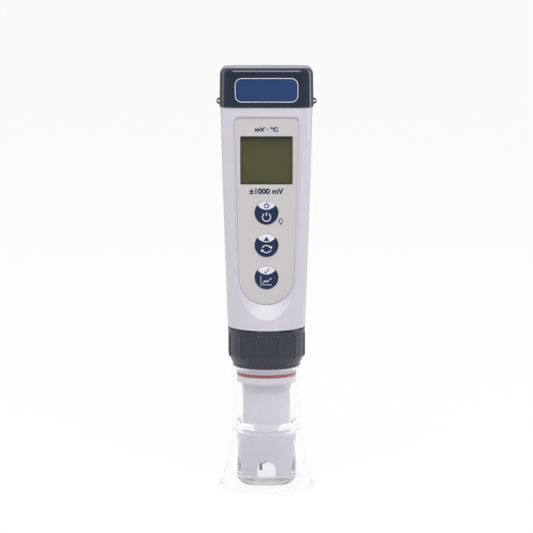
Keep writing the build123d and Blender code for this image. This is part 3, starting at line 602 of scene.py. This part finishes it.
keys = (
    ("power_key", power_symbol, 0.0, cog_symbol, 2.95),
    ("mode_key", mode_symbol, -1.5, up_symbol, 2.75),
    ("calibration_key", chart_symbol, 0.0, tick_symbol, 2.75),
)
for number, (name, main, drop, second, rise) in enumerate(keys):
    row = -KEY_PITCH * number
    finish_node(name, key_rubber(f"navy_silicone_{name}", row))
    print_on(
        f"{name}_symbol", main, panel, (0, row + drop, KEY_FACE),
        f"{name}_body", white_ink,
    )
    print_on(
        f"{name}_second_symbol", second, panel, (0, row + rise, KEY_FACE),
        f"{name}_body", navy_ink,
    )
finish_node("keypad_gasket", black_rubber)

# Battery cap: high-gloss navy ABS, the darkest and shiniest piece, with a plain blue badge
# printed on its front inside a thin pale line.
navy_abs = moulded_plastic("navy_gloss_abs", "252c3d", 0.14, 0.8, 0.03)
finish_node("battery_cap", navy_abs)
finish_node("battery_cap_seal", black_rubber)
CAP_LEAN = radians(-1.07)
CAP_PLACE = (0, -17.32, 169.0)  # the badge's middle, on the cap's front
cap_front = face_frame(CAP_PLACE, CAP_LEAN)
BADGE_WIDTH = 24.6
BADGE_HEIGHT = 8.6
BADGE_CORNER = 2.2
LINE_GAP = 0.5
LINE_WIDTH = 0.3


def rounded_outline(width, height, corner):
    """A rectangle with round corners, as points in millimetres."""
    x, y = width / 2 - corner, height / 2 - corner
    return [
        point
        for turn, (a, b) in enumerate(((x, y), (-x, y), (-x, -y), (x, -y)))
        for point in arc(a, b, corner, corner, 90 * turn, 90 * turn + 90)
    ]


badge_blue = moulded_plastic("blue_badge_ink", "1f3d6e", 0.25, 0.3, 0.05, coat=0.3)
print_on(
    "badge", [patch(rounded_outline(BADGE_WIDTH, BADGE_HEIGHT, BADGE_CORNER))],
    cap_front, (0, 0, 0), "battery_cap_body", badge_blue,
)
line_outline = rounded_outline(
    BADGE_WIDTH + 2 * LINE_GAP, BADGE_HEIGHT + 2 * LINE_GAP, BADGE_CORNER + LINE_GAP,
)
print_on(
    "badge_line", [stroke(line_outline, LINE_WIDTH, closed=True)],
    cap_front, (0, 0, 0), "battery_cap_body", white_ink,
)

# Inside: circuit boards in glass cloth and epoxy under green solder mask, holders moulded in
# black glass-filled nylon, contacts stamped from nickel-plated spring steel, and PVC leads.
solder_mask = moulded_plastic("green_solder_mask", "14502c", 0.35, 0.5, 0.1)
for name in ("circuit_board", "cap_contact_board"):
    finish_node(name, solder_mask)
for name in ("circuit_chips", "probe_socket", "battery_cradle"):
    finish_node(name, black_nylon)
nickel = drawn_metal("nickel_plated_spring", "c8c4b8", 0.28, 0.3)
for name in ("key_switches", "cradle_contacts", "cap_contacts", "contact_screws"):
    finish_node(name, nickel)
finish_node("sensor_leads", moulded_plastic("lead_pvc", "8a2a22", 0.5, 0.3, 0.1))

# Battery cells: steel cans in a shrunk plastic sleeve, which leaves the ends bare, with a
# band of another colour at the head.
SLEEVE_END = 0.45 * MM
CELL_PIP = 1.0 * MM
HEAD_BAND = 9.0 * MM


def cell_sleeve(name, head_up):
    """Steel at both ends, a copper-coloured band at the head and a blue sleeve between them."""
    low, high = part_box(name)
    can_low = low[2] if head_up else low[2] + CELL_PIP
    can_high = high[2] - CELL_PIP if head_up else high[2]
    band = can_high - HEAD_BAND if head_up else can_low + HEAD_BAND
    material, tree, output = new_material(f"sleeve_{name}")
    place = add_node(tree, "ShaderNodeTexCoord")
    height = add_node(tree, "ShaderNodeSeparateXYZ", links={"Vector": place.outputs["Object"]})
    above = add_node(
        tree, "ShaderNodeMath", {1: can_low + SLEEVE_END}, {0: height.outputs["Z"]},
        operation="GREATER_THAN",
    )
    below = add_node(
        tree, "ShaderNodeMath", {1: can_high - SLEEVE_END}, {0: height.outputs["Z"]},
        operation="LESS_THAN",
    )
    sleeve = add_node(
        tree, "ShaderNodeMath", links={0: above.outputs[0], 1: below.outputs[0]}, operation="MULTIPLY",
    )
    head = add_node(
        tree, "ShaderNodeMath", {1: band}, {0: height.outputs["Z"]},
        operation="GREATER_THAN" if head_up else "LESS_THAN",
    )
    print_colour = add_node(
        tree, "ShaderNodeMixRGB", {"Color1": linear("2b4f74"), "Color2": linear("b0784a")},
        {"Fac": head.outputs[0]},
    )
    colour = add_node(
        tree, "ShaderNodeMixRGB", {"Color1": linear("b9b8b4")},
        {"Fac": sleeve.outputs[0], "Color2": print_colour.outputs[0]},
    )
    metal = add_node(tree, "ShaderNodeMath", {0: 1.0}, {1: sleeve.outputs[0]}, operation="SUBTRACT")
    shader = add_node(
        tree, "ShaderNodeBsdfPrincipled", {"Roughness": 0.28},
        {"Base Color": colour.outputs[0], "Metallic": metal.outputs[0]},
    )
    tree.links.new(shader.outputs[0], output.inputs["Surface"])
    return material


for name, head_up in (
    ("cell_front_left", True), ("cell_front_right", False),
    ("cell_back_left", False), ("cell_back_right", True),
):
    finish_node(name, cell_sleeve(name, head_up))
